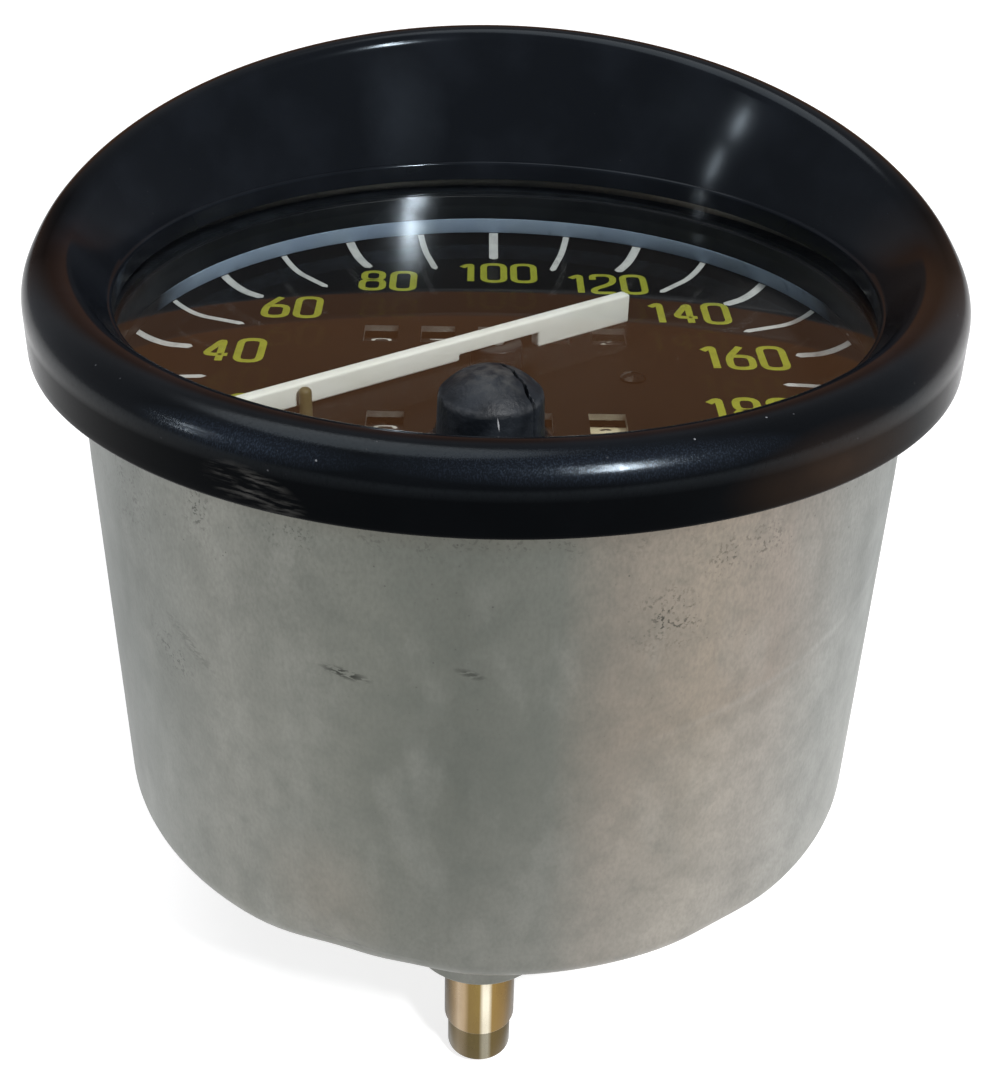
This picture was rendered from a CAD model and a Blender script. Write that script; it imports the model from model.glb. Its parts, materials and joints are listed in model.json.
import json
import math

import bpy
from mathutils import Matrix, Vector


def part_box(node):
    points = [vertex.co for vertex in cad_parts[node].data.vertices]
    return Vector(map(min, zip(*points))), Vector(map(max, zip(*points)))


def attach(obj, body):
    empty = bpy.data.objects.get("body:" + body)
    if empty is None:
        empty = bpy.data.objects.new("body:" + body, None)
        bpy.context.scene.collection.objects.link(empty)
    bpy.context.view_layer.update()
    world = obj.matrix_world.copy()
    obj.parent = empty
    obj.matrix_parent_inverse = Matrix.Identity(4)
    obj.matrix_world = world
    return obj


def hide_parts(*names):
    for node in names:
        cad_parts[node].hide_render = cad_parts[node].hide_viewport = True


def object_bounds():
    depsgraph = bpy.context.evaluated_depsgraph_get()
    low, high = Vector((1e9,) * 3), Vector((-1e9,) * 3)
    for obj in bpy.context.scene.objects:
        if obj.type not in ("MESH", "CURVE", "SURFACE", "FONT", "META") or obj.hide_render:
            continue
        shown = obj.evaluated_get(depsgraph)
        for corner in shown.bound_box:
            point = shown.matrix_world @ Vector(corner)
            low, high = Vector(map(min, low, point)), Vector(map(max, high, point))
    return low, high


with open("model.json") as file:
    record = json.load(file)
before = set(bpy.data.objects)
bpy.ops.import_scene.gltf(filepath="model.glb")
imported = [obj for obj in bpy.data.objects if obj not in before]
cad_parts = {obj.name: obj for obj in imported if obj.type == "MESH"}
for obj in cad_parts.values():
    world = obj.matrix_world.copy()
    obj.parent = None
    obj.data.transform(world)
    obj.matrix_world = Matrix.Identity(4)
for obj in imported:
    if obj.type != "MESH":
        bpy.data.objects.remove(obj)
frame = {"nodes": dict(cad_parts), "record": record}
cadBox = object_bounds()
print("frame loaded:", len(frame["nodes"]), "nodes")

mm = 0.001
slotOf = {subpart["node"]: subpart["material_slot"] for subpart in frame["record"]["subparts"]}
bodyOf = {node: body for body, nodes in frame["record"]["behaviour"]["bodies"].items() for node in nodes}


# Small modelling helpers

def clearSelection():
    if bpy.context.object and bpy.context.object.mode != "OBJECT":
        bpy.ops.object.mode_set(mode="OBJECT")
    bpy.ops.object.select_all(action="DESELECT")


def pick(obj):
    clearSelection()
    obj.select_set(True)
    bpy.context.view_layer.objects.active = obj
    return obj


def nameIt(name):
    obj = bpy.context.object
    obj.name = name
    obj.data.name = name
    return obj


def settle(obj):
    # the place goes into the mesh
    pick(obj)
    bpy.ops.object.transform_apply(location=True, rotation=True, scale=True)
    return obj


def openEdit(obj, action, kind=None):
    # edit mode with all selected or deselected, by edges or faces where a kind is given
    pick(obj)
    bpy.ops.object.mode_set(mode="EDIT")
    if kind:
        bpy.ops.mesh.select_mode(type=kind)
    bpy.ops.mesh.select_all(action=action)


def closeEdit():
    bpy.ops.object.mode_set(mode="OBJECT")


def useModifier(obj, kind, **settings):
    pick(obj)
    modifier = obj.modifiers.new(kind.title(), kind)
    for key, value in settings.items():
        setattr(modifier, key, value)
    bpy.ops.object.modifier_apply(modifier=modifier.name)


def smoothBy(obj, degrees):
    pick(obj)
    bpy.ops.object.shade_smooth_by_angle(angle=math.radians(degrees))


def joinAll(name, pieces):
    clearSelection()
    for piece in pieces:
        piece.select_set(True)
    bpy.context.view_layer.objects.active = pieces[0]
    bpy.ops.object.join()
    return nameIt(name)


def copyOf(obj, name):
    twin = obj.copy()
    twin.data = obj.data.copy()
    twin.name = name
    twin.data.name = name
    bpy.context.collection.objects.link(twin)
    return twin


def removeAll(objects):
    for obj in objects:
        bpy.data.objects.remove(obj)


def tidyShell(obj, close=0.001, outward=True):
    # points closer than this many mm are merged, and the faces turned outwards
    openEdit(obj, "SELECT")
    bpy.ops.mesh.remove_doubles(threshold=close * mm)
    if outward:
        bpy.ops.mesh.normals_make_consistent(inside=False)
    closeEdit()


def mergedCopy(node, name):
    # a CAD mesh is loose triangles that point the right way, so its copy is only merged
    twin = copyOf(frame["nodes"][node], name)
    twin.parent = None
    twin.matrix_world = Matrix.Identity(4)
    twin.data.materials.clear()
    tidyShell(twin, close=0.002, outward=False)
    return twin


def lathe(name, rings, sides, centre=(0, 0), closed=False):
    # one circle is extruded and resized from ring to ring, radius and height in mm
    clearSelection()
    x, y = centre[0] * mm, centre[1] * mm
    radius, height = rings[0]
    bpy.ops.mesh.primitive_circle_add(vertices=sides, radius=radius * mm, location=(x, y, height * mm))
    obj = settle(nameIt(name))
    openEdit(obj, "SELECT", "EDGE")
    for nextRadius, nextHeight in rings[1:] + rings[:1] if closed else rings[1:]:
        climb = (0, 0, (nextHeight - height) * mm)
        bpy.ops.mesh.extrude_edges_move(TRANSFORM_OT_translate={"value": climb})
        grow = nextRadius / radius
        bpy.ops.transform.resize(value=(grow, grow, 1), center_override=(x, y, nextHeight * mm))
        radius, height = nextRadius, nextHeight
    closeEdit()
    tidyShell(obj)
    return obj


def arcRings(centre, radius, start, end, steps):
    angles = [math.radians(start + (end - start) * k / steps) for k in range(steps + 1)]
    return [(centre[0] + radius * math.cos(a), centre[1] + radius * math.sin(a)) for a in angles]


def straightRings(start, end, steps):
    return [(start[0] + (end[0] - start[0]) * k / steps, start[1] + (end[1] - start[1]) * k / steps)
            for k in range(steps + 1)]


def pullFaces(obj, wanted, move):
    # faces chosen by their centre in mm and their normal are extruded, move in mm
    openEdit(obj, "DESELECT", "FACE")
    closeEdit()
    for face in obj.data.polygons:
        face.select = wanted(face.center / mm, face.normal)
    bpy.ops.object.mode_set(mode="EDIT")
    bpy.ops.mesh.extrude_region_move(TRANSFORM_OT_translate={"value": tuple(m * mm for m in move)})
    closeEdit()


def moveVertices(obj, place):
    for vertex in obj.data.vertices:
        vertex.co = Vector(place(*(vertex.co / mm))) * mm
    obj.data.update()


def boxInMm(corners):
    # low corner, high corner and middle
    low, high = (corner / mm for corner in corners)
    return low, high, (low + high) / 2


def clampShare(value):
    return min(max(value, 0), 1)


# Node helpers for the finishes

socketName = {"metal": "Metallic", "rough": "Roughness", "shine": "Specular IOR Level",
              "passing": "Transmission Weight", "bend": "IOR"}
current = {}  # the node tree and shader that these helpers work on


def feed(socket, value):
    if isinstance(value, bpy.types.NodeSocket):
        current["tree"].links.new(value, socket)
    else:
        socket.default_value = value


def shaderInput(name, value):
    feed(current["shader"].inputs[name], value)


def newFinish(name, **sockets):
    finish = bpy.data.materials.new(name)
    finish.use_nodes = True
    current["tree"] = finish.node_tree
    current["shader"] = finish.node_tree.nodes["Principled BSDF"]
    for key, value in sockets.items():
        shaderInput(socketName[key], value)
    return finish


def addNode(kind, inputs=None, **settings):
    node = current["tree"].nodes.new(kind)
    for key, value in settings.items():
        setattr(node, key, value)
    for key, value in (inputs or {}).items():
        feed(node.inputs[key], value)
    return node


def combine(operation, first, second):
    return addNode("ShaderNodeMath", {0: first, 1: second}, operation=operation).outputs[0]


def product(first, second):
    return combine("MULTIPLY", first, second)


def vectorStep(operation, first, second=(0, 0, 0)):
    node = addNode("ShaderNodeVectorMath", {0: first, 1: second}, operation=operation)
    return node.outputs["Value" if operation == "LENGTH" else "Vector"]


def objectPlace(stretch=(1, 1, 1), shift=(0, 0, 0), turn=(0, 0, 0)):
    # Object coordinates are in metres, the patterns below are written per millimetre
    place = addNode("ShaderNodeTexCoord").outputs["Object"]
    turned = addNode("ShaderNodeMapping",
                     {"Vector": place, "Scale": tuple(s / mm for s in stretch), "Location": shift,
                      "Rotation": tuple(math.radians(t) for t in turn)})
    return turned.outputs["Vector"]


def axisPlace(axis):
    return addNode("ShaderNodeSeparateXYZ", {0: objectPlace()}).outputs[axis]


def fromAxis():
    # distance from the part's centre line in mm
    return vectorStep("LENGTH", vectorStep("MULTIPLY", objectPlace(), (1, 1, 0)))


def ramp(value, low, high, out=(0, 1)):
    node = addNode("ShaderNodeMapRange", {"Value": value, "From Min": low, "From Max": high,
                                          "To Min": out[0], "To Max": out[1]}, clamp=True)
    return node.outputs["Result"]


def spread(value, low, high):
    # carries 0 to 1 over to low to high
    return ramp(value, 0, 1, (low, high))


def cloud(size, low=0.4, high=0.6, stretch=(1, 1, 1), detail=4, turn=(0, 0, 0), shift=(0, 0, 0)):
    # soft noise with blotches of about this size in mm
    noise = addNode("ShaderNodeTexNoise",
                    {"Vector": objectPlace(stretch, shift, turn), "Scale": 1 / size, "Detail": detail})
    return ramp(noise.outputs["Fac"], low, high)


def specks(spacing, radius, core=0.4):
    # small round dots, spacing and radius in mm, at full strength in the core
    cells = addNode("ShaderNodeTexVoronoi", {"Vector": objectPlace(), "Scale": 1 / spacing})
    return ramp(cells.outputs["Distance"], radius / spacing, core * radius / spacing)


def dottedCloud(spacing, radius, size, low, high, shift=(0, 0, 0)):
    # dots that gather in blotches of this size
    return product(specks(spacing, radius), cloud(size, low, high, shift=shift))


def mark(spot, reach, turn=(0, 0, 0), soft=0.3):
    # a soft oval area, reach in mm along its own three axes
    away = vectorStep("SUBTRACT", objectPlace(), spot)
    turned = addNode("ShaderNodeVectorRotate",
                     {"Vector": away, "Rotation": tuple(math.radians(t) for t in turn)},
                     rotation_type="EULER_XYZ", invert=True)
    scaled = vectorStep("DIVIDE", turned.outputs[0], reach)
    return ramp(vectorStep("LENGTH", scaled), 1, soft)


def blend(factor, first, second):
    # inputs 6 and 7 and output 2 are the colour sockets of a Mix node
    node = addNode("ShaderNodeMix", {0: factor}, data_type="RGBA")
    for place, value in ((6, first), (7, second)):
        feed(node.inputs[place], (*value, 1) if isinstance(value, tuple) else value)
    return node.outputs[2]


def stain(tone, area, strength, colour):
    # a colour laid over the tone in one area
    return blend(product(area, strength), tone, colour)


def bandsFrom(value, tones):
    node = addNode("ShaderNodeValToRGB", {"Fac": value})
    stops = node.color_ramp.elements
    while len(stops) < len(tones):
        stops.new(0.5)
    for stop, (at, tone) in zip(stops, tones):
        stop.position = at
        stop.color = (*tone, 1)
    return node.outputs["Color"]


def colourFrom(value):
    shaderInput("Base Color", value)


def roughFrom(value, low, high):
    shaderInput("Roughness", spread(value, low, high))


def bumpFrom(height, depth):
    # depth in mm
    node = addNode("ShaderNodeBump", {"Height": height, "Strength": 1.0, "Distance": depth * mm})
    shaderInput("Normal", node.outputs["Normal"])


def grainFrom(size, depth, **pattern):
    # an even grain, size and depth in mm
    bumpFrom(cloud(size, 0.3, 0.7, **pattern), depth)


# Finishes: tones are linear colours, places and sizes are in mm

canBands = [
    # place from the left edge to the right one, and tone
    (0.0, (0.185, 0.2, 0.187)), (0.08, (0.17, 0.183, 0.168)), (0.2, (0.235, 0.237, 0.213)),
    (0.36, (0.163, 0.168, 0.147)), (0.46, (0.123, 0.129, 0.113)), (0.56, (0.148, 0.153, 0.135)),
    (0.62, (0.236, 0.208, 0.174)), (0.72, (0.306, 0.262, 0.212)), (0.8, (0.318, 0.276, 0.236)),
    (0.88, (0.3, 0.3, 0.278)), (0.95, (0.25, 0.264, 0.247)), (1.0, (0.185, 0.202, 0.185)),
]
canMarks = [
    # spot, reach, turn about Y and strength of the dark marks
    ((-15.5, -46.7, -20.7), (3.2, 4, 0.8), 8, 0.9),
    ((-2.7, -49.1, -18.9), (2.0, 4, 0.6), 20, 0.6),
    ((-33, -36, -24.5), (7, 5, 1.2), 42, 0.3),
]
canPits = [
    # spot, reach and strength of the pitted places
    ((-20.8, -44.9, -5.8), (3.4, 5, 2.2), 0.8),
    ((-31, -38.5, -6), (2.2, 5, 5.5), 0.7),
    ((-36, -34, -27), (5, 6, 5), 0.6),
    ((17, -46, -14), (6, 6, 5), 0.85),
    ((25, -42.5, -8), (9, 8, 4), 0.6),
    ((-40, -28, -9), (8, 12, 9), 0.5),
    ((0, -49, -4), (40, 40, 2.5), 0.3),
]
canPitTone = (0.03, 0.031, 0.027)


def zincCanFinish():
    finish = newFinish("zincCan", metal=1.0)
    across, height = axisPlace("X"), axisPlace("Z")
    tone = bandsFrom(ramp(across, -50, 50), canBands)
    lower = product(ramp(height, -34, -58), ramp(across, -10, 25, (0.1, 0.42)))
    tone = blend(lower, tone, (0.46, 0.445, 0.41))
    warm = mark((-19, -45, -53), (9, 12, 11), soft=0.2)
    tone = stain(tone, warm, 0.5, (0.25, 0.225, 0.19))
    # a faint crease climbs to the right, paler below it
    crease = combine("ADD", product(across, -0.2), height)
    below = product(ramp(crease, -31.5, -36.5), ramp(across, 8, 30))
    tone = stain(tone, below, 0.22, (0.5, 0.51, 0.48))
    thin = product(ramp(crease, -33.4, -32.7), ramp(crease, -32.0, -32.7))
    thin = product(thin, ramp(across, 12, 30))
    tone = stain(tone, thin, 0.13, (0.62, 0.61, 0.58))
    for side in (-1, 1):
        dim = mark((47 * side, -14, -16), (9, 34, 22), soft=0.2)
        dim = product(dim, cloud(6.0, 0.35, 0.65, detail=6, shift=(9, 4, side)))
        tone = stain(tone, dim, 0.6, (0.11, 0.128, 0.112))
    sheen = cloud(9.0, 0.3, 0.75, stretch=(1, 1, 0.4), detail=5)
    tone = stain(tone, sheen, 0.12, (0.15, 0.158, 0.14))
    smudge = cloud(14.0, 0.5, 0.74, detail=6, shift=(3, 1, 0))
    tone = stain(tone, smudge, 0.2, (0.11, 0.118, 0.108))
    bloom = cloud(6.0, 0.52, 0.74, stretch=(1, 1, 0.45), detail=7, shift=(6, 2, 5))
    tone = stain(tone, bloom, 0.18, (0.40, 0.40, 0.37))
    mottle = cloud(3.2, 0.42, 0.68, detail=9, shift=(4, 7, 2))
    tone = stain(tone, mottle, 0.22, (0.095, 0.106, 0.094))
    fine = cloud(0.4, 0.35, 0.75, stretch=(1, 1, 0.6), detail=8)
    tone = stain(tone, fine, ramp(height, -30, -4, (0.22, 0.36)), (0.09, 0.092, 0.082))
    tone = stain(tone, ramp(height, -5, -0.8), 0.45, (0.10, 0.082, 0.062))
    edge = mark((0, 0, -62.5), (60, 60, 2.6), soft=0.1)
    tone = stain(tone, edge, 0.25, (0.46, 0.46, 0.43))
    ragged = cloud(0.5, 0.47, 0.55, stretch=(0.45, 0.45, 1.5), detail=8)
    for spot, reach, turn, strength in canMarks:
        area = product(mark(spot, reach, (0, turn, 0)), ragged)
        tone = stain(tone, area, strength, canPitTone)
    pitted = product(cloud(0.42, 0.54, 0.6, detail=5), cloud(1.8, 0.42, 0.56, detail=6))
    for spot, reach, strength in canPits:
        area = product(mark(spot, reach, soft=0.1), pitted)
        tone = stain(tone, area, strength, canPitTone)
    pits = dottedCloud(1.2, 0.13, 7.0, 0.46, 0.6, shift=(2, 8, 1))
    pits = product(pits, ramp(height, -28, -6, (0.25, 1)))
    tone = stain(tone, pits, 0.75, (0.05, 0.05, 0.045))
    colourFrom(tone)
    roughFrom(sheen, 0.36, 0.46)
    bumpFrom(fine, 0.005)
    return finish


bezelSheens = [
    # spot and reach of the two rubbed stretches on the front bead
    ((12, -53, 6.9), (26, 9, 1.5)),
    ((-25, -48, 6.6), (17, 9, 1.4)),
]
bezelPolish = [
    # spot, reach and gloss of the brighter places inside the hood
    ((-13.4, 46, 10), (7, 6, 11), 0.45),
    ((26, 41, 14), (6, 6, 7), 0.12),
]


def blackBezelFinish():
    finish = newFinish("blackBezel")
    back, height = axisPlace("Y"), axisPlace("Z")
    outer = ramp(fromAxis(), 50.2, 52.2)
    haze = cloud(9.0, 0.45, 0.75, detail=6)
    inside = blend(haze, (0.0045, 0.0054, 0.0072), (0.0075, 0.009, 0.012))
    outside = blend(haze, (0.001, 0.0011, 0.0014), (0.0017, 0.0019, 0.0024))
    tone = blend(outer, inside, outside)
    rust = mark((33, -44, 2.5), (15, 14, 5), soft=0.1)
    tone = stain(tone, rust, spread(haze, 0.9, 0.5), (0.026, 0.015, 0.009))
    brown = mark((51, -14, 7), (13, 30, 9), soft=0.1)
    tone = stain(tone, brown, 0.75, (0.017, 0.0105, 0.007))
    dust = dottedCloud(1.7, 0.08, 12.0, 0.5, 0.65)
    tone = stain(tone, dust, 0.35, (0.16, 0.15, 0.14))
    # the front bead is rubbed: short slanting hairs with a blue cast
    bead = product(product(outer, ramp(back, -8, -24)), ramp(height, 4.0, 6.0))
    hairs = cloud(0.22, 0.48, 0.66, stretch=(1.6, 1.6, 0.4), detail=4, turn=(0, 24, 0))
    for spot, reach in bezelSheens:
        sheen = product(mark(spot, reach, soft=0.05), spread(hairs, 0.25, 1))
        tone = stain(tone, product(sheen, outer), 0.5, (0.04, 0.056, 0.085))
    nicks = product(bead, dottedCloud(2.1, 0.13, 5.0, 0.5, 0.6))
    tone = stain(tone, nicks, 0.8, (0.3, 0.31, 0.33))
    scuffed = mark((-23.6, -50, 2.1), (6.2, 6, 2.6), (0, 14, 0), soft=0.2)
    lines = cloud(0.42, 0.46, 0.62, stretch=(0.16, 0.16, 1.1), detail=6, turn=(0, 8, 0))
    broken = cloud(2.6, 0.36, 0.62, stretch=(0.7, 0.7, 1.4), detail=6)
    scuffs = product(product(lines, broken), scuffed)
    tone = stain(tone, scuffs, 0.6, (0.15, 0.145, 0.135))
    colourFrom(tone)
    shine = spread(product(bead, spread(hairs, 1, 0.7)), 0.025, 0.2)
    shine = combine("ADD", shine, spread(outer, 0.1, 0))
    for spot, reach, gloss in bezelPolish:
        polished = product(mark(spot, reach, soft=0.05), gloss)
        shine = combine("ADD", shine, polished)
    behind = product(outer, ramp(back, 6, 30, (0, 0.22)))
    shaderInput("Specular IOR Level", combine("ADD", shine, behind))
    shaderInput("Specular Tint", (0.74, 0.88, 1, 1))
    roughFrom(product(outer, spread(hairs, 0.2, 1)), 0.14, 0.2)
    bumpFrom(product(hairs, bead), 0.0025)
    return finish


glassIndex = 1.5


def clearGlassFinish():
    finish = newFinish("clearGlass")
    tree = current["tree"]
    tree.nodes.remove(current["shader"])
    clear = addNode("ShaderNodeBsdfTransparent", {"Color": (0.96, 0.97, 0.96, 1)}).outputs[0]
    smear = cloud(6.0, 0.5, 0.75, stretch=(1, 0.5, 1), detail=5)
    mirror = addNode("ShaderNodeBsdfGlossy",
                     {"Color": (1, 1, 1, 1), "Roughness": spread(smear, 0.02, 0.06)}).outputs[0]
    # the inner faces take the inverse index, so that no ray is trapped in the pane
    inner = addNode("ShaderNodeNewGeometry").outputs["Backfacing"]
    index = spread(inner, glassIndex, 1 / glassIndex)
    edgeOn = addNode("ShaderNodeFresnel", {"IOR": index}).outputs[0]
    pane = addNode("ShaderNodeMixShader", {0: edgeOn, 1: clear, 2: mirror}).outputs[0]
    grit = addNode("ShaderNodeBsdfDiffuse", {"Color": (0.55, 0.5, 0.44, 1)}).outputs[0]
    film = product(dottedCloud(2.3, 0.08, 14.0, 0.45, 0.6), 0.6)
    dusty = addNode("ShaderNodeMixShader", {0: film, 1: pane, 2: grit}).outputs[0]
    feed(tree.nodes["Material Output"].inputs["Surface"], dusty)
    return finish


def blackRubberFinish():
    finish = newFinish("blackRubber", shine=0.3)
    bloom = cloud(3.0, 0.4, 0.7, detail=6)
    tone = blend(bloom, (0.005, 0.0068, 0.0095), (0.014, 0.018, 0.024))
    top = product(ramp(axisPlace("Z"), 7.4, 8.8), cloud(1.2, 0.4, 0.65, detail=6))
    tone = stain(tone, top, 0.8, (0.055, 0.056, 0.054))
    crease = mark((0, -36, 6.3), (60, 60, 0.45), soft=0.1)
    crease = product(crease, cloud(1.0, 0.35, 0.6, detail=6))
    tone = stain(tone, crease, 0.3, (0.10, 0.105, 0.11))
    scratch = mark((-0.3, -42, 5.4), (0.09, 1.0, 0.8), (0, -8, 0))
    tone = blend(scratch, tone, (0.55, 0.56, 0.58))
    colourFrom(tone)
    roughFrom(bloom, 0.42, 0.62)
    grainFrom(0.5, 0.035, detail=5)
    return finish


def blackPlasticFinish():
    finish = newFinish("blackPlastic", shine=0.3)
    haze = cloud(5.0, 0.4, 0.7)
    colourFrom(blend(haze, (0.006, 0.007, 0.009), (0.012, 0.014, 0.017)))
    roughFrom(haze, 0.35, 0.5)
    grainFrom(0.3, 0.006)
    return finish


def paleRingFinish():
    # pale round the back of the dial, black towards the front
    finish = newFinish("paleRing", rough=0.6, shine=0.3)
    aged = cloud(7.0, 0.35, 0.7, detail=5)
    tone = blend(aged, (0.36, 0.47, 0.66), (0.43, 0.55, 0.72))
    grime = cloud(2.0, 0.6, 0.75, detail=5)
    tone = stain(tone, grime, 0.3, (0.08, 0.10, 0.14))
    lit = ramp(axisPlace("Y"), 13, 22)
    colourFrom(blend(lit, (0.008, 0.008, 0.009), tone))
    return finish


def dialBlackFinish():
    finish = newFinish("dialBlack", shine=0.06)
    faded = cloud(18.0, 0.35, 0.7, detail=5)
    tone = blend(faded, (0.0055, 0.0045, 0.004), (0.009, 0.007, 0.0055))
    dust = dottedCloud(1.9, 0.07, 10.0, 0.42, 0.6)
    colourFrom(stain(tone, dust, 0.5, (0.14, 0.12, 0.10)))
    roughFrom(faded, 0.5, 0.65)
    grainFrom(0.15, 0.003)
    return finish


def printFinish(name, tone, worn):
    finish = newFinish(name, rough=0.65, shine=0.2)
    thin = cloud(1.6, 0.45, 0.75, detail=5)
    colourFrom(stain(tone, thin, 0.55, worn))
    grainFrom(0.12, 0.004)
    return finish


def metalFinish(name, tone, dull, rough, brushed=(1, 1, 1)):
    finish = newFinish(name, metal=1.0)
    tarnish = cloud(2.4, 0.45, 0.75, stretch=brushed, detail=6)
    tint = stain(tone, tarnish, 0.7, dull)
    spots = specks(1.3, 0.08)
    colourFrom(stain(tint, spots, 0.5, tuple(0.4 * c for c in dull)))
    roughFrom(tarnish, *rough)
    grainFrom(0.35, 0.003, stretch=brushed)
    return finish


fittingBands = [
    # place across the fitting, and tone: rubbed bright along two lines, tarnished between them
    (0.0, (0.05, 0.034, 0.014)), (0.07, (0.11, 0.074, 0.03)), (0.14, (0.3, 0.215, 0.12)),
    (0.2, (0.52, 0.4, 0.27)), (0.28, (0.46, 0.34, 0.21)), (0.35, (0.23, 0.155, 0.055)),
    (0.5, (0.26, 0.18, 0.06)), (0.555, (0.95, 0.88, 0.7)), (0.625, (0.95, 0.88, 0.7)),
    (0.68, (0.31, 0.2, 0.065)), (0.84, (0.26, 0.16, 0.05)), (0.93, (0.14, 0.088, 0.03)),
    (1.0, (0.06, 0.04, 0.016)),
]


def fittingFinish(middle, radius, step):
    # dull on the end below the step and at the root by the can
    finish = newFinish("fittingBrass", metal=1.0)
    across, height = axisPlace("X"), axisPlace("Z")
    drawn = (1, 1, 0.3)
    tone = bandsFrom(ramp(across, middle - radius, middle + radius), fittingBands)
    tarnish = cloud(2.4, 0.42, 0.72, stretch=drawn, detail=6)
    tone = stain(tone, tarnish, 0.3, (0.16, 0.10, 0.035))
    tone = stain(tone, ramp(height, step + 0.2, step - 0.2), 0.66, (0.07, 0.062, 0.034))
    tone = blend(ramp(height, step + 9.5, step + 13, (0, 0.75)), tone, (0.06, 0.05, 0.03))
    colourFrom(tone)
    roughFrom(tarnish, 0.2, 0.36)
    grainFrom(0.35, 0.003, stretch=drawn)
    return finish


def plasticFinish(name, tone, aged, rough):
    finish = newFinish(name, shine=0.35)
    patchy = cloud(3.5, 0.4, 0.72, detail=5)
    tint = blend(patchy, tone, aged)
    dirt = specks(1.1, 0.06)
    colourFrom(stain(tint, dirt, 0.6, tuple(0.35 * c for c in aged)))
    roughFrom(patchy, *rough)
    grainFrom(0.2, 0.004)
    return finish


def pointerPaintFinish():
    finish = newFinish("pointerPaint", rough=0.5, shine=0.3)
    yellowed = cloud(6.0, 0.4, 0.75, detail=4)
    tone = blend(yellowed, (0.93, 0.94, 0.90), (0.86, 0.87, 0.81))
    chips = cloud(0.8, 0.70, 0.78, detail=5)
    colourFrom(stain(tone, chips, 0.35, (0.28, 0.27, 0.24)))
    grainFrom(0.3, 0.004)
    return finish


def bulbGlassFinish():
    finish = newFinish("bulbGlass", passing=1.0, bend=1.1, rough=0.05)
    colourFrom(blend(cloud(2.0), (0.9, 0.88, 0.8), (0.8, 0.77, 0.68)))
    return finish


finishes = {
    "zinc_can": zincCanFinish(),
    "black_bezel": blackBezelFinish(),
    "clear_glass": clearGlassFinish(),
    "black_rubber": blackRubberFinish(),
    "black_plastic": blackPlasticFinish(),
    "pale_ring": paleRingFinish(),
    "dial_black": dialBlackFinish(),
    "dark_steel": metalFinish("darkSteel", (0.024, 0.022, 0.02), (0.013, 0.012, 0.011), (0.22, 0.4)),
    "brass": metalFinish("brass", (0.62, 0.42, 0.13), (0.26, 0.15, 0.05), (0.16, 0.36), (1, 1, 0.3)),
    "white_paint": pointerPaintFinish(),
    "steel": metalFinish("steel", (0.55, 0.55, 0.54), (0.32, 0.31, 0.29), (0.25, 0.4)),
    "aluminium": metalFinish("aluminium", (0.66, 0.67, 0.68), (0.45, 0.45, 0.45), (0.3, 0.45)),
    "cast_zinc": metalFinish("castZinc", (0.36, 0.35, 0.33), (0.24, 0.23, 0.21), (0.45, 0.6)),
    "magnet_iron": metalFinish("magnetIron", (0.16, 0.165, 0.17), (0.09, 0.08, 0.075), (0.5, 0.65)),
    "cream_plastic": plasticFinish("creamPlastic", (0.66, 0.6, 0.44), (0.56, 0.48, 0.32), (0.4, 0.55)),
    "drum_black": plasticFinish("drumBlack", (0.008, 0.008, 0.008), (0.016, 0.015, 0.013), (0.45, 0.6)),
    "drum_cream": plasticFinish("drumCream", (0.68, 0.62, 0.44), (0.58, 0.50, 0.32), (0.45, 0.6)),
    "bulb_glass": bulbGlassFinish(),
}
tickPrint = printFinish("tickPrint", (0.60, 0.61, 0.60), (0.36, 0.37, 0.37))
numberPrint = printFinish("numberPrint", (0.34, 0.36, 0.035), (0.22, 0.23, 0.02))
figureWhite = printFinish("figureWhite", (0.62, 0.62, 0.58), (0.42, 0.42, 0.38))
figureBlack = printFinish("figureBlack", (0.012, 0.012, 0.012), (0.03, 0.028, 0.025))
pinTarnish = plasticFinish("pinTarnish", (0.17, 0.14, 0.065), (0.11, 0.09, 0.04), (0.35, 0.5))
cutEdge = metalFinish("cutEdge", (0.42, 0.42, 0.40), (0.28, 0.27, 0.25), (0.45, 0.6))

for node, obj in frame["nodes"].items():
    obj.data.materials.clear()
    obj.data.materials.append(finishes[slotOf[node]])
print("finishes made:", len(finishes))


def fitPiece(obj, body, slot, nodes=(), finish=None, smooth=40):
    # edges that turn by less than the smooth angle are shaded round
    smoothBy(obj, smooth)
    obj.data.materials.clear()
    obj.data.materials.append(finish or finishes[slot])
    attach(obj, body)
    if nodes:
        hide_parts(*nodes)


# Camera at the photograph's place

photoCamera = {"elevation": 30.466, "turn": -1.37, "roll": 1.433, "distance": 209.66,
               "aim": (1.37, 0, -32.138), "lens": 53.12, "clip": 10}


def placeCamera(c):
    rise, lean = math.radians(c["elevation"]), math.radians(c["roll"])
    right = Vector((1, 0, 0))
    back = Vector((0, -math.cos(rise), math.sin(rise)))
    flatUp = Vector((0, math.sin(rise), math.cos(rise)))
    side = right * math.cos(lean) + flatUp * math.sin(lean)
    up = flatUp * math.cos(lean) - right * math.sin(lean)
    pose = Matrix((side, up, back)).transposed().to_4x4()
    pose.translation = (Vector(c["aim"]) + back * c["distance"]) * mm
    clearSelection()
    bpy.ops.object.camera_add()
    camera = bpy.context.object
    camera.name = "photoCamera"
    camera.matrix_world = Matrix.Rotation(math.radians(c["turn"]), 4, "Z") @ pose
    camera.data.lens = c["lens"]
    camera.data.clip_start = c["clip"] * mm
    bpy.context.scene.camera = camera


placeCamera(photoCamera)
print("camera placed")


# Hooded bezel

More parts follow.
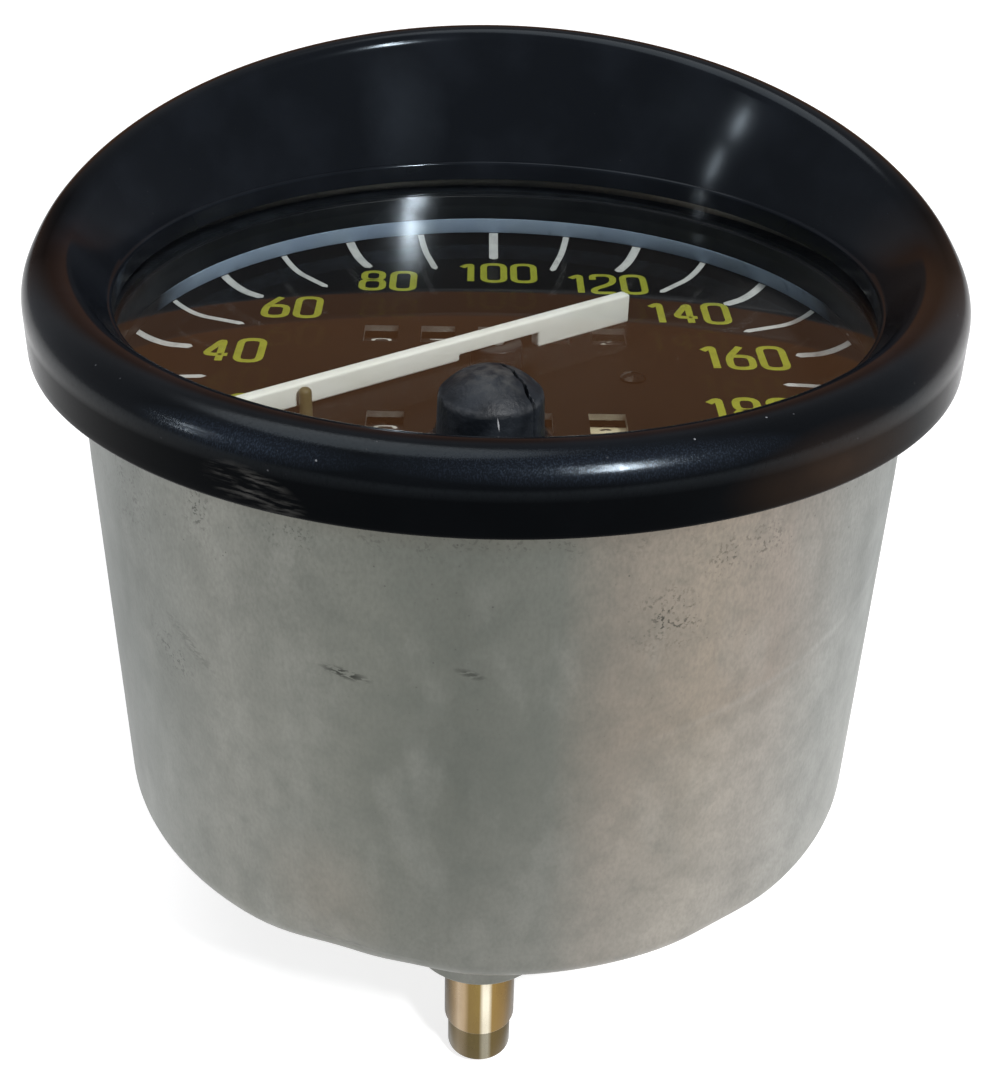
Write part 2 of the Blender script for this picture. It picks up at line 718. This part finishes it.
hoodSizes = {"rimLow": 9.5, "rise": 12.585, "ease": 0.12, "power": 1.08, "rimRound": 2.5, "swell": 1.5,
             "swellStart": 0.2, "swellSpan": 0.7, "swellDrop": 0.7, "dip": 0.55, "dipPower": 4,
             "lipRadius": 45.2, "lipRound": 0.5, "lipLow": 2.0, "lipHigh": 4.0, "seat": 49.5, "foot": 52.6,
             "shoulder": 1.7, "footRound": 0.5, "belly": 0.35, "bellyHeight": 16, "insideSteps": 16,
             "sides": 240}


def hoodRings(h, outer, slope):
    # outline of the wall where sin of the direction is slope
    climb = h["rise"] * ((slope + math.hypot(slope, h["ease"])) / 2) ** h["power"]
    share = clampShare((h["swellStart"] - slope) / h["swellSpan"])
    share = share * share * (3 - 2 * share)
    rim, foot = h["rimRound"] + h["swell"] * share, h["footRound"]
    top = h["rimLow"] + climb - h["swellDrop"] * share - h["dip"] * max(-slope, 0) ** h["dipPower"]
    lipEdge = (h["lipRadius"] + h["lipRound"], h["lipHigh"] + h["lipRound"])
    across, up = outer - rim - lipEdge[0], top - rim - lipEdge[1]
    leave = 90 + math.degrees(math.atan2(up, across) + math.asin(rim / math.hypot(across, up)))
    rings = [(h["foot"], 0.0)]
    rings += arcRings((outer - foot, foot), foot, -90, 0, steps=4)
    rings += straightRings((outer, foot), (outer, top - rim), steps=6)[1:]
    rings += arcRings((outer - rim, top - rim), rim, 0, leave, steps=26)[1:]
    inside = straightRings(rings[-1], lipEdge, steps=h["insideSteps"])
    bulge = h["belly"] * ((inside[0][1] - lipEdge[1]) / h["bellyHeight"]) ** 2
    for k, (radius, z) in enumerate(inside[1:], 1):
        along = k / h["insideSteps"]
        rings.append((radius - bulge * 4 * along * (1 - along), z))
    rings += arcRings((lipEdge[0], h["lipHigh"]), h["lipRound"], 90, 180, steps=6)[1:]
    return rings + [(h["lipRadius"], h["lipLow"]), (h["seat"], h["lipLow"]), (h["seat"], h["shoulder"]),
                    (h["foot"], h["shoulder"])]


def makeHood(h):
    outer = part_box("hood")[1].x / mm
    base = hoodRings(h, outer, 1)
    hood = lathe("hoodShell", base, h["sides"], closed=True)
    known = {}

    def follow(x, y, z):
        # each point takes its ring's place in the outline for its own direction
        radius = math.hypot(x, y)
        slope = round(y / radius, 5)
        if slope not in known:
            known[slope] = hoodRings(h, outer, slope)
        ring = min(range(len(base)), key=lambda k: (base[k][0] - radius) ** 2 + (base[k][1] - z) ** 2)
        newRadius, newZ = known[slope][ring]
        return x * newRadius / radius, y * newRadius / radius, newZ

    moveVertices(hood, follow)
    tidyShell(hood)
    fitPiece(hood, "housing", "black_bezel", ["hood"])


makeHood(hoodSizes)
print("hood made")


# Drawn can with its boss

canSizes = {"radius": 49.5, "wall": 0.8, "taper": 0.7, "barrel": 14, "depth": 63.5, "corner": 3.7,
            "flange": 2.8, "flangeLow": 0.8, "flangeHigh": 1.6, "flangeRoot": 0.6, "pole": 1.0,
            "flatWithin": 30, "dentSink": 0.5, "sides": 192}
canDents = [
    # angle, height, width, tallness and depth
    (248, -61, 9, 5, 0.9),
    (259, -62, 7, 4, 0.5),
    (305, -62, 8, 5, 0.3),
    (236, -50, 12, 9, 0.25),
    (283, -30, 14, 12, 0.15),
]
bossSizes = {"radius": 8.5, "height": 3.3, "round": 0.6, "hole": 4.5, "holeDeep": 1.0, "foot": 1.2,
             "root": 0.8, "wall": 0.3, "sides": 72}


def makeCan(c, dents):
    low, lip, bend = c["radius"] - c["taper"], c["radius"] + c["flange"], c["corner"] - c["depth"]
    edge, root = c["wall"] / 4, c["flangeRoot"]
    rings = [(lip - edge, c["flangeHigh"]), (lip, c["flangeHigh"] - edge),
             (lip, c["flangeLow"] + edge), (lip - edge, c["flangeLow"])]
    rings += arcRings((c["radius"] + root, c["flangeLow"] - root), root, 90, 180, steps=4)
    rings += straightRings((c["radius"], c["flangeLow"] - root), (c["radius"], -c["barrel"]), steps=6)[1:]
    rings += straightRings((c["radius"], -c["barrel"]), (low, bend), steps=26)[1:]
    rings += arcRings((low - c["corner"], bend), c["corner"], 0, -90, steps=12)[1:]
    rings += straightRings((low - c["corner"], -c["depth"]), (c["pole"], -c["depth"]), steps=8)[1:]
    can = lathe("canShell", rings, c["sides"])
    # the last ring is closed to a point
    openEdit(can, "DESELECT")
    closeEdit()
    for vertex in can.data.vertices:
        vertex.select = math.hypot(vertex.co.x, vertex.co.y) < 1.1 * c["pole"] * mm
    bpy.ops.object.mode_set(mode="EDIT")
    bpy.ops.mesh.merge(type="CENTER")
    closeEdit()

    def dent(x, y, z):
        radius = math.hypot(x, y)
        if radius < c["flatWithin"]:
            return x, y, z
        angle = math.degrees(math.atan2(y, x)) % 360
        push = 0
        for at, height, wide, tall, depth in dents:
            away = (math.radians(angle - at) * radius / wide) ** 2 + ((z - height) / tall) ** 2
            push += depth * math.exp(-2 * away)
        keep = 1 - push / radius
        return x * keep, y * keep, z + c["dentSink"] * push * (z < bend)

    moveVertices(can, dent)
    tidyShell(can)
    useModifier(can, "SOLIDIFY", thickness=c["wall"] * mm, offset=-1)
    fitPiece(can, "housing", "zinc_can", ["case"])


def makeBoss(b, c):
    middle = boxInMm(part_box("drive_nipple"))[2]
    seat, low = -c["depth"], -c["depth"] - b["height"]
    rings = [(b["radius"] + b["foot"], seat)]
    rings += arcRings((b["radius"] + b["root"], seat - b["root"]), b["root"], 90, 180, steps=4)
    rings += arcRings((b["radius"] - b["round"], low + b["round"]), b["round"], 0, -90, steps=6)
    rings += [(b["hole"], low), (b["hole"], low + b["holeDeep"])]
    boss = lathe("canBoss", rings, b["sides"], middle.xy)
    useModifier(boss, "SOLIDIFY", thickness=b["wall"] * mm, offset=-1)
    fitPiece(boss, "housing", "zinc_can")


makeCan(canSizes, canDents)
makeBoss(bossSizes, canSizes)
print("can made")


# Brass drive fitting

fittingSizes = {"radius": 4.35, "endRadius": 3.9, "endLength": 5, "edge": 0.35, "groove": 0.12,
                "grooveStep": 0.3, "bore": 2.25, "boreDeep": 2.0, "neck": 0.1, "neckLong": 1.4,
                "neckSlope": 0.2, "sunk": 1, "sides": 96}


def makeFitting(f):
    low, _, middle = boxInMm(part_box("drive_nipple"))
    end, step, edge = low.z, low.z + f["endLength"], f["edge"]
    top = f["sunk"] - canSizes["depth"] - bossSizes["height"]
    neck, grooved = f["radius"] - f["neck"], f["endRadius"] - f["groove"]
    rings = [(f["bore"], end + f["boreDeep"]), (f["bore"], end + edge), (f["bore"] + edge, end),
             (f["endRadius"] - edge, end)]
    rings += arcRings((f["endRadius"] - edge, end + edge), edge, -90, 0, steps=4)
    rings += [(f["endRadius"], step - 3 * f["grooveStep"]), (grooved, step - 2 * f["grooveStep"]),
              (grooved, step - f["grooveStep"]), (f["endRadius"], step)]
    rings += arcRings((f["radius"] - edge, step + edge), edge, -60, 0, steps=4)
    rings += [(f["radius"], top - f["neckLong"] - f["neckSlope"]), (neck, top - f["neckLong"]), (neck, top),
              (f["bore"], top)]
    fitting = lathe("driveFitting", rings, f["sides"], middle.xy, closed=True)
    finish = fittingFinish(middle.x, f["radius"], step)
    fitPiece(fitting, "housing", "brass", ["drive_nipple"], finish, smooth=35)


makeFitting(fittingSizes)
print("drive fitting made")


# Dial plate with bare window edges

dialSizes = {"face": -7.9, "flat": 41.0, "edge": 46.0, "rise": 1.5, "windowsWithin": 25, "upright": 0.5}
dialBend = ((dialSizes["edge"] - dialSizes["flat"]) ** 2 + dialSizes["rise"] ** 2) / (2 * dialSizes["rise"])


def dialHeight(radius):
    out = min(max(radius - dialSizes["flat"], 0), dialBend)
    return dialSizes["face"] + dialBend - math.sqrt(dialBend ** 2 - out ** 2)


def makeDial(d):
    dial = mergedCopy("dial", "dialPlate")
    fitPiece(dial, "housing", "dial_black", ["dial"], smooth=25)
    dial.data.materials.append(cutEdge)
    for face in dial.data.polygons:
        inside = math.hypot(face.center.x, face.center.y) < d["windowsWithin"] * mm
        face.material_index = int(inside and abs(face.normal.z) < d["upright"])


makeDial(dialSizes)
print("dial plate made")


# Scale ticks that climb the dished edge

tickSizes = {"zero": 225, "perTen": 13.5, "count": 21, "majorInner": 38.8, "minorInner": 35.4, "outer": 45.9,
             "majorWidth": 1.3, "minorWidth": 0.9, "lift": 0.03, "thick": 0.025}


def makeTick(name, inner, width, t):
    # lies along X, with a round inner end
    clearSelection()
    length, half = t["outer"] - inner, width / 2
    bpy.ops.mesh.primitive_grid_add(x_subdivisions=16, y_subdivisions=4, size=mm)
    tick = nameIt(name)
    tick.scale = (length, width, 1)
    tick.location = ((inner + length / 2) * mm, 0, 0)
    settle(tick)

    def climb(x, y, z):
        near = max(half - (x - inner), 0)
        narrow = math.sqrt(max(half ** 2 - near ** 2, 0)) / half
        return x, y * narrow, dialHeight(math.hypot(x, y)) + t["lift"]

    moveVertices(tick, climb)
    return tick


def makeTicks(t):
    major = makeTick("tickMajor", t["majorInner"], t["majorWidth"], t)
    minor = makeTick("tickMinor", t["minorInner"], t["minorWidth"], t)
    ticks = []
    for k in range(t["count"]):
        tick = copyOf(minor if k % 2 else major, "tick%d" % k)
        tick.rotation_euler.z = math.radians(t["zero"] - k * t["perTen"])
        ticks.append(settle(tick))
    removeAll([major, minor])
    row = joinAll("dialTicks", ticks)
    tidyShell(row)
    useModifier(row, "SOLIDIFY", thickness=t["thick"] * mm, offset=-1)
    fitPiece(row, "housing", "dial_black", finish=tickPrint)


makeTicks(tickSizes)
print("ticks made")


# Figures: each one is drawn once as strokes in a cell 1 wide and 1 high

figureStrokes = {
    # points of each stroke, and whether it closes
    "0": [([(0, 0), (1, 0), (1, 1), (0, 1)], True)],
    "1": [([(0.15, 0.8), (0.6, 1), (0.6, 0)], False)],
    "2": [([(0, 0.74), (0, 1), (1, 1), (1, 0.56), (0, 0.2), (0, 0), (1.02, 0)], False)],
    "3": [([(0, 1), (1, 1), (1, 0.53), (0.3, 0.53)], False),
          ([(0.9, 0.53), (1, 0.5), (1, 0), (0, 0)], False)],
    "4": [([(0.72, 0), (0.72, 1), (0, 0.28), (1.05, 0.28)], False)],
    "5": [([(0.95, 1), (0, 1), (0, 0.56), (1, 0.58), (1, 0), (0, 0)], False)],
    "6": [([(0.62, 1), (0, 0.5), (0, 0), (1, 0), (1, 0.56), (0.12, 0.56)], False)],
    "7": [([(0, 1), (1, 1), (0.35, 0)], False)],
    "8": [([(0, 0), (1, 0), (1, 0.53), (0, 0.53)], True),
          ([(0.06, 0.53), (0.94, 0.53), (0.94, 1), (0.06, 1)], True)],
    "9": [([(0.38, 0), (1, 0.5), (1, 1), (0, 1), (0, 0.44), (0.88, 0.44)], False)],
}
figureSizes = {"cornerSteps": 5, "cornerPart": 2.02, "flatten": 0.06}


def roundCorners(points, closed, radius):
    # corners become short curves, each over less than half of the lines beside it
    rounded = []
    for k, corner in enumerate(points):
        if not closed and k in (0, len(points) - 1):
            rounded.append(corner)
            continue
        before, after = points[k - 1] - corner, points[(k + 1) % len(points)] - corner
        reach = min(radius, min(before.length, after.length) / figureSizes["cornerPart"])
        start, end = corner + before.normalized() * reach, corner + after.normalized() * reach
        for step in range(figureSizes["cornerSteps"] + 1):
            t = step / figureSizes["cornerSteps"]
            rounded.append(start * (1 - t) ** 2 + corner * 2 * t * (1 - t) + end * t ** 2)
    return rounded


def drawFigure(digit, s):
    # centred on the origin, flat, sizes in mm
    cellWide = s["width"] - s["stroke"]
    aspect = (s["height"] - s["stroke"]) / cellWide
    curve = bpy.data.curves.new("figure" + digit, "CURVE")
    curve.dimensions = "3D"
    curve.bevel_depth = s["stroke"] / 2 * mm
    curve.bevel_resolution = 1
    curve.use_fill_caps = True
    for points, closed in figureStrokes[digit]:
        path = roundCorners([Vector((x, y * aspect)) for x, y in points], closed, s["corner"] / cellWide)
        spline = curve.splines.new("POLY")
        spline.points.add(len(path) - 1)
        for place, point in zip(spline.points, path):
            place.co = ((point.x - 0.5) * cellWide * mm, (point.y - 0.5 * aspect) * cellWide * mm, 0, 1)
        spline.use_cyclic_u = closed
    obj = bpy.data.objects.new("figure" + digit, curve)
    bpy.context.collection.objects.link(obj)
    pick(obj)
    bpy.ops.object.convert(target="MESH")
    obj = bpy.context.object
    obj.scale.z = figureSizes["flatten"]
    return settle(obj)


numberSizes = {"ring": 33.5, "height": 7.6, "width": 3.8, "pitch": 4.25, "onePitch": 2.8, "stroke": 0.95,
               "corner": 1.3, "lift": 0.02, "speeds": range(20, 201, 20), "drop": {20: -0.9},
               "aside": {20: -0.4, 80: 0.4, 100: 0.7, 120: 0.85, 140: -0.75, 160: -1.3, 180: -1.2, 200: -1.0}}


def makeNumbers(n, t):
    patterns = {digit: drawFigure(digit, n) for digit in "012468"}
    pieces = []
    for speed in n["speeds"]:
        digits = str(speed)
        angle = math.radians(t["zero"] - speed / 10 * t["perTen"])
        middle = Vector((math.cos(angle), math.sin(angle), 0)) * n["ring"]
        widths = [n["onePitch"] if digit == "1" else n["pitch"] for digit in digits]
        left = middle.x + n["aside"].get(speed, 0) - sum(widths) / 2
        for digit, wide in zip(digits, widths):
            figure = copyOf(patterns[digit], "number%d" % speed)
            figure.location = Vector((left + wide / 2, middle.y + n["drop"].get(speed, 0), 0)) * mm
            left += wide
            pieces.append(settle(figure))
    removeAll(patterns.values())
    numbers = joinAll("dialNumbers", pieces)
    moveVertices(numbers, lambda x, y, z: (x, y, z + dialHeight(math.hypot(x, y)) + n["lift"]))
    fitPiece(numbers, "housing", "dial_black", finish=numberPrint)


makeNumbers(numberSizes, tickSizes)
print("dial numbers made")


# Figures round the counter drums

drumSizes = {"radius": 7.5, "height": 4.0, "stroke": 0.55, "corner": 0.9}
drumRows = {"odometer": {"width": 2.7, "shown": (0, 3, 8, 1, 6)},
            "trip": {"width": 2.9, "shown": (0, 4, 7, 1)}}


def wrapFigures(patterns, node, shown, radius):
    middle = boxInMm(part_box(node))[2]
    pieces = []
    for digit, pattern in enumerate(patterns):
        figure = copyOf(pattern, "%s_figure%d" % (node, digit))
        turn = (digit - shown) * math.tau / len(patterns)

        def wrap(x, y, z, turn=turn):
            angle = math.pi / 2 - y / radius + turn
            reach = radius + z
            return middle.x + x, middle.y + reach * math.cos(angle), middle.z + reach * math.sin(angle)

        moveVertices(figure, wrap)
        pieces.append(figure)
    ring = joinAll(node + "_figures", pieces)
    tidyShell(ring)
    finish = figureBlack if slotOf[node] == "drum_cream" else figureWhite
    fitPiece(ring, bodyOf[node], slotOf[node], finish=finish)


def makeDrumFigures(d, rows):
    for name, row in rows.items():
        patterns = [drawFigure(digit, {**d, "width": row["width"]}) for digit in "0123456789"]
        for i, shown in enumerate(row["shown"], 1):
            wrapFigures(patterns, "%s_drum_%d" % (name, i), shown, d["radius"])
        removeAll(patterns)


makeDrumFigures(drumSizes, drumRows)
print("drum figures made")


# White folded pointer

pointerSizes = {"tip": 38, "tail": 20.8, "width": 1.6, "neck": 1.9, "skirt": 2.7, "tailSkirt": 3.8,
                "notch": 6, "rest": 216, "edge": 0.3, "facing": 0.9}


def makePointer(p):
    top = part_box("pointer")[1].z / mm
    facing, notch = p["facing"], p["notch"]
    clearSelection()
    bpy.ops.mesh.primitive_cube_add(size=mm, location=(0, 0, (top - p["neck"] / 2) * mm),
                                    scale=(2 * notch, p["width"], p["neck"]))
    pointer = settle(nameIt("pointerBlade"))
    pullFaces(pointer, lambda at, way: way.x > facing, (p["tip"] - notch, 0, 0))
    pullFaces(pointer, lambda at, way: way.x < -facing, (notch - p["tail"], 0, 0))
    pullFaces(pointer, lambda at, way: way.z < -facing and at.x > notch, (0, 0, p["neck"] - p["skirt"]))
    pullFaces(pointer, lambda at, way: way.z < -facing and at.x < -notch, (0, 0, p["neck"] - p["tailSkirt"]))
    tidyShell(pointer)
    useModifier(pointer, "BEVEL", width=p["edge"] * mm, segments=3, limit_method="ANGLE")
    pointer.rotation_euler.z = math.radians(p["rest"])
    settle(pointer)
    fitPiece(pointer, "pointer_arbor", "white_paint", ["pointer"], smooth=35)


makePointer(pointerSizes)
print("pointer made")


# Stop pin with a rounded head

pinSizes = {"round": 0.6, "pole": 0.05, "roundEnd": 88, "sides": 40}


def makeStopPin(p):
    low, high, middle = boxInMm(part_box("stop_pin"))
    radius, head = (high.x - low.x) / 2, high.z - p["round"]
    rings = [(p["pole"], low.z)]
    rings += straightRings((radius, low.z), (radius, head), steps=4)
    rings += arcRings((radius - p["round"], head), p["round"], 0, p["roundEnd"], steps=6)[1:]
    rings += [(p["pole"], high.z)]
    pin = lathe("stopPin", rings, p["sides"], middle.xy, closed=True)
    fitPiece(pin, "housing", slotOf["stop_pin"], ["stop_pin"], pinTarnish, smooth=50)


makeStopPin(pinSizes)
print("stop pin made")


# Rubber reset knob with a split in its crown

knobSizes = {"wall": 0.7, "inside": 0.9, "foot": 0.2, "side": 4.3, "lean": 0.15, "edge": 0.2, "sides": 300,
             "crownSteps": 60, "crownBend": 2.4, "crownInset": 0.3, "pole": 0.04,
             "splitWide": 0.2, "splitDeep": 1.4, "splitLeast": 0.01, "splitAbove": 0.4, "splitTurn": 0.5,
             "split": [(-0.6, 3.3), (0.1, 2.5), (0.9, 2.0), (1.3, 1.1), (2.1, 0.5), (2.4, -0.6), (3.2, -1.3),
                       (3.5, -2.4), (4.5, -3.4)]}


def makeKnob(k):
    low, high, middle = boxInMm(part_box("reset_knob"))
    radius = (high.x - low.x) / 2
    shoulder = low.z + k["side"]
    crown = high.z - shoulder
    inner = radius - k["wall"]
    rings = [(inner, low.z + k["inside"]), (inner, low.z), (radius - k["foot"], low.z)]
    rings += straightRings((radius, low.z + k["foot"]), (radius - k["lean"], shoulder - k["edge"]), steps=16)
    for step in range(k["crownSteps"] + 1):
        out = (radius - k["crownInset"]) * (1 - step / k["crownSteps"]) + k["pole"]
        rings.append((out, high.z - crown * (out / radius) ** k["crownBend"]))
    knob = lathe("resetKnob", rings, k["sides"], middle.xy)
    path = [Vector(point) for point in k["split"]]

    def fromSplit(spot):
        away = []
        for a, b in zip(path, path[1:]):
            along = clampShare((spot - a).dot(b - a) / (b - a).length_squared)
            away.append((spot - a.lerp(b, along)).length)
        return min(away)

    def split(x, y, z):
        # down into the crown, and inwards on the side wall
        spot = Vector((x - middle.x, y - middle.y))
        depth = k["splitDeep"] * max(1 - fromSplit(spot) / k["splitWide"], 0)
        if z < low.z + k["splitAbove"] or depth < k["splitLeast"]:
            return x, y, z
        onWall = clampShare((spot.length - radius + k["splitTurn"]) / k["splitTurn"])
        keep = 1 - depth * onWall / max(spot.length, 1)
        return middle.x + spot.x * keep, middle.y + spot.y * keep, z - depth * (1 - onWall)

    moveVertices(knob, split)
    fitPiece(knob, "button", "black_rubber", ["reset_knob"], smooth=60)


makeKnob(knobSizes)
print("reset knob made")


# Domed dial screws

screwSizes = {"head": 1.6, "shank": 0.8, "rim": 0.25, "core": 0.1, "pole": 0.03, "domeSteps": 12, "sides": 48}


def makeDialScrews(d):
    low, high, middle = boxInMm(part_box("dial_screws"))
    seat = dialSizes["face"]
    dome = high.z - seat - d["rim"]
    bow = (d["head"] ** 2 + dome ** 2) / (2 * dome)
    rings = [(d["core"], low.z), (d["shank"], low.z), (d["shank"], seat), (d["head"], seat),
             (d["head"], seat + d["rim"])]
    for step in range(1, d["domeSteps"] + 1):
        out = d["head"] * (1 - step / d["domeSteps"]) + d["pole"]
        rings.append((out, high.z - bow + math.sqrt(bow ** 2 - out ** 2)))
    pair = [lathe("dialScrew", rings, d["sides"], (x, middle.y), closed=True)
            for x in (low.x + d["head"], high.x - d["head"])]
    screws = joinAll("dialScrews", pair)
    fitPiece(screws, "housing", slotOf["dial_screws"], ["dial_screws"], smooth=45)


makeDialScrews(screwSizes)
print("dial screws made")


# Turned and pressed parts that show get soft edges

softEdges = {"pointer_hub": 0.3, "light_ring": 0.1, "spacer_ring": 0.15, "button_guide": 0.15,
             "retaining_ring": 0.15, "lamp_holders": 0.3, "case_screws": 0.3, "input_shaft": 0.25}


def softenNodes(sizes, sharp=40):
    # only edges that turn by more than the sharp angle are rounded
    for node, width in sizes.items():
        soft = mergedCopy(node, node + "_soft")
        useModifier(soft, "BEVEL", width=width * mm, segments=3, limit_method="ANGLE",
                    angle_limit=math.radians(sharp))
        fitPiece(soft, bodyOf[node], slotOf[node], [node], smooth=sharp)


softenNodes(softEdges)
print("edges softened:", len(softEdges))


# Floor, light and world, in metres

stageSizes = {"floorRadius": 6.0, "floorSides": 96, "floorTone": (0.62, 0.62, 0.615), "floorFade": 0.985,
              "floorLift": 0.46, "eyeLift": 0.27, "worldTone": (0.34, 0.35, 0.38),
              "warmTone": (0.205, 0.094, 0.044), "warmFrom": 0.72, "warmFull": 0.88}
lampAim = (0, 0, -0.02)
lampSizes = [
    {"name": "keyLamp", "place": (0.42, -0.72, 0.74), "size": 0.11, "power": 6},
    {"name": "softTop", "place": (-0.3, 0.2, 1.2), "size": 0.9, "power": 5},
    {"name": "glintHigh", "place": (-0.878, -0.274, 0.393), "size": 0.035, "tall": 0.09, "power": 0.4},
    {"name": "glintLow", "place": (-0.916, -0.318, 0.245), "size": 0.03, "tall": 0.12, "power": 0.35},
    {"name": "glassStreak", "place": (0.4, -0.608, 0.814), "size": 0.018, "tall": 0.24, "power": 5.5},
]


def seenBy(*rays):
    # 1 for any of these kinds of ray
    path = addNode("ShaderNodeLightPath")
    seen = path.outputs[rays[0]]
    for ray in rays[1:]:
        seen = combine("MAXIMUM", seen, path.outputs[ray])
    return seen


def makeFloor(s):
    clearSelection()
    bpy.ops.mesh.primitive_circle_add(vertices=s["floorSides"], radius=s["floorRadius"], fill_type="NGON",
                                      location=(0, 0, cadBox[0][2]))
    floor = settle(nameIt("floor"))
    finish = newFinish("floorPaper", rough=0.95, shine=0.05)
    tone = s["floorTone"]
    faded = tuple(s["floorFade"] * c for c in tone)
    colourFrom(blend(cloud(60.0), tone, faded))
    # the paper is lifted to white for the eye, for metal and for glass, and keeps the shadow
    seen = seenBy("Is Camera Ray", "Is Glossy Ray", "Is Transmission Ray")
    eye = seenBy("Is Camera Ray")
    lift = combine("ADD", product(seen, s["floorLift"]), product(eye, s["eyeLift"]))
    shaderInput("Emission Color", (1, 1, 1, 1))
    shaderInput("Emission Strength", lift)
    floor.data.materials.append(finish)


def makeLamps(lamps):
    for lamp in lamps:
        clearSelection()
        bpy.ops.object.light_add(type="AREA", location=lamp["place"])
        light = bpy.context.object
        light.name = lamp["name"]
        light.data.shape = "ELLIPSE"
        light.data.size = lamp["size"]
        light.data.size_y = lamp.get("tall", lamp["size"])
        light.data.energy = lamp["power"]
        aim = Vector(lampAim) - light.location
        light.rotation_euler = aim.to_track_quat("-Z", "Y").to_euler()


def makeWorld(s):
    # grey, warm towards the back, and white where the eye looks past the floor
    world = bpy.data.worlds.new("studioWorld")
    bpy.context.scene.world = world
    world.use_nodes = True
    current["tree"] = world.node_tree
    place = addNode("ShaderNodeTexCoord").outputs["Generated"]
    way = addNode("ShaderNodeSeparateXYZ", {0: place})
    behind = ramp(way.outputs["Y"], s["warmFrom"], s["warmFull"])
    tone = blend(behind, s["worldTone"], s["warmTone"])
    seen = seenBy("Is Camera Ray", "Is Transmission Ray")
    feed(world.node_tree.nodes["Background"].inputs["Color"], blend(seen, tone, (1, 1, 1)))


makeFloor(stageSizes)
makeLamps(lampSizes)
makeWorld(stageSizes)
bpy.context.scene.view_settings.view_transform = "Standard"
print("stage set")
